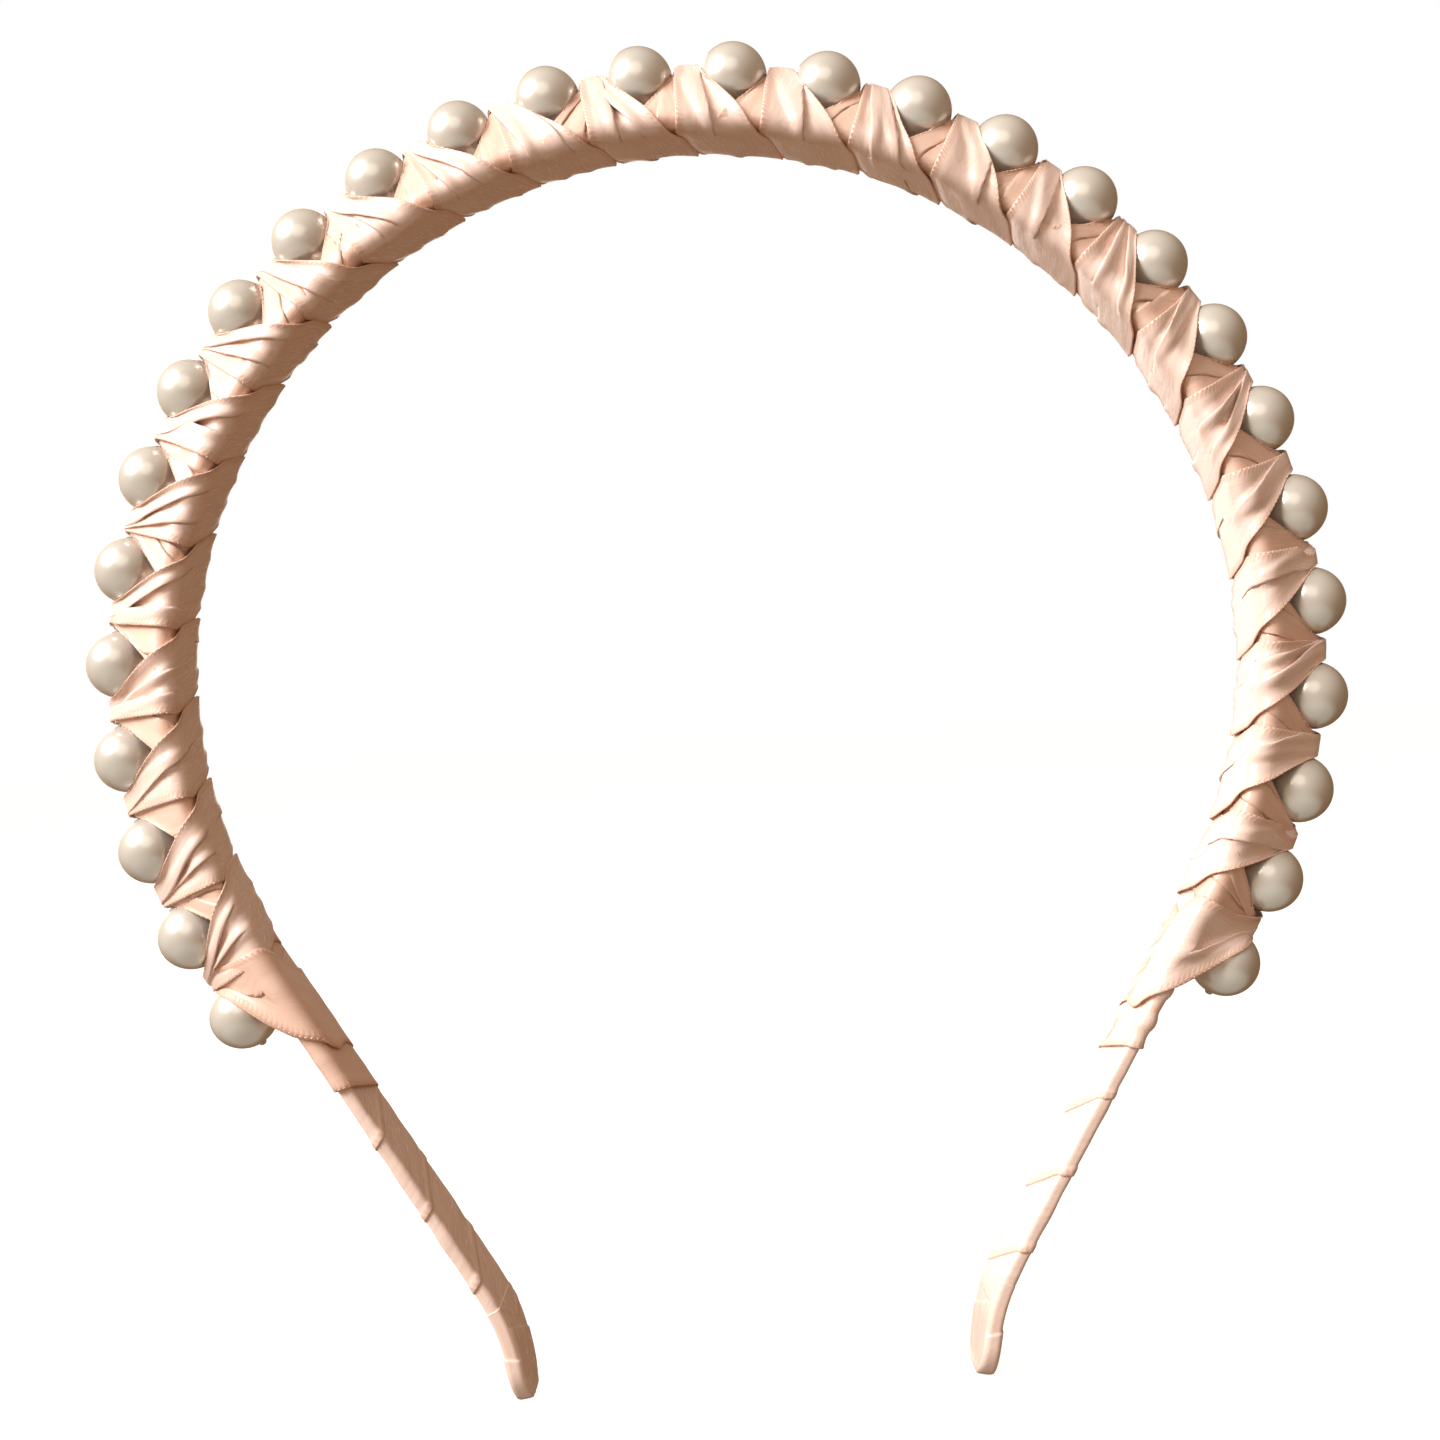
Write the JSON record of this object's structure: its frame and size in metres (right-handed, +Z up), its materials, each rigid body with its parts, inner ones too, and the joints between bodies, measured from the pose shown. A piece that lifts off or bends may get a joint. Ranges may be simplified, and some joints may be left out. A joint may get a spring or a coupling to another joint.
{
  "type": "headband",
  "caption": "Open hoop headband: a ribbon-wrapped spring strip with a row of round pearls lashed along its outer side by crossed satin ribbon, and plain wrapped tails.",
  "frame": {"origin": "on the floor midway between the two tips, in the hoop's middle plane", "axes": "+Z up from the tips to the crown, +X to the right seen from the front, -Y towards the front"},
  "size_m": [0.148, 0.0108, 0.1577],
  "materials": {
    "steel": "blued-grey spring steel, satin",
    "thread": "twisted off-white beading thread",
    "pearl": "warm greige pearl lacquer with a soft nacre sheen",
    "ribbon": "blush peach double-face satin ribbon with beaded selvages"
  },
  "bodies": {
    "crown": {"core_strip": "steel", "bead_thread": "thread", "crown_wrap": "ribbon", "crown_under_lashing": "ribbon", "crown_over_lashing": "ribbon", "pearl_10": "pearl", "pearl_11": "pearl", "pearl_12": "pearl", "pearl_13": "pearl", "pearl_14": "pearl", "pearl_15": "pearl", "pearl_16": "pearl", "pearl_17": "pearl", "pearl_18": "pearl", "pearl_19": "pearl"},
    "left_arm": {"left_arm_wrap": "ribbon", "left_under_lashing": "ribbon", "left_over_lashing": "ribbon", "left_tip_fold": "ribbon", "pearl_01": "pearl", "pearl_02": "pearl", "pearl_03": "pearl", "pearl_04": "pearl", "pearl_05": "pearl", "pearl_06": "pearl", "pearl_07": "pearl", "pearl_08": "pearl", "pearl_09": "pearl"},
    "right_arm": {"right_arm_wrap": "ribbon", "right_under_lashing": "ribbon", "right_over_lashing": "ribbon", "right_tip_fold": "ribbon", "pearl_20": "pearl", "pearl_21": "pearl", "pearl_22": "pearl", "pearl_23": "pearl", "pearl_24": "pearl", "pearl_25": "pearl", "pearl_26": "pearl", "pearl_27": "pearl", "pearl_28": "pearl"}
  },
  "joints": [
    {"name": "left_arm_flex", "type": "hinge", "parent": "crown", "child": "left_arm", "pos_m": [-0.04556, 0, 0.12878], "axis": [0, 1, 0], "range_deg": [-3, 10], "stiffness_Nm_per_rad": 1, "deforming": ["core_strip", "bead_thread"]},
    {"name": "right_arm_flex", "type": "hinge", "parent": "crown", "child": "right_arm", "pos_m": [0.04556, 0, 0.12878], "axis": [0, -1, 0], "range_deg": [-3, 10], "stiffness_Nm_per_rad": 1, "deforming": ["core_strip", "bead_thread"]}
  ]
}
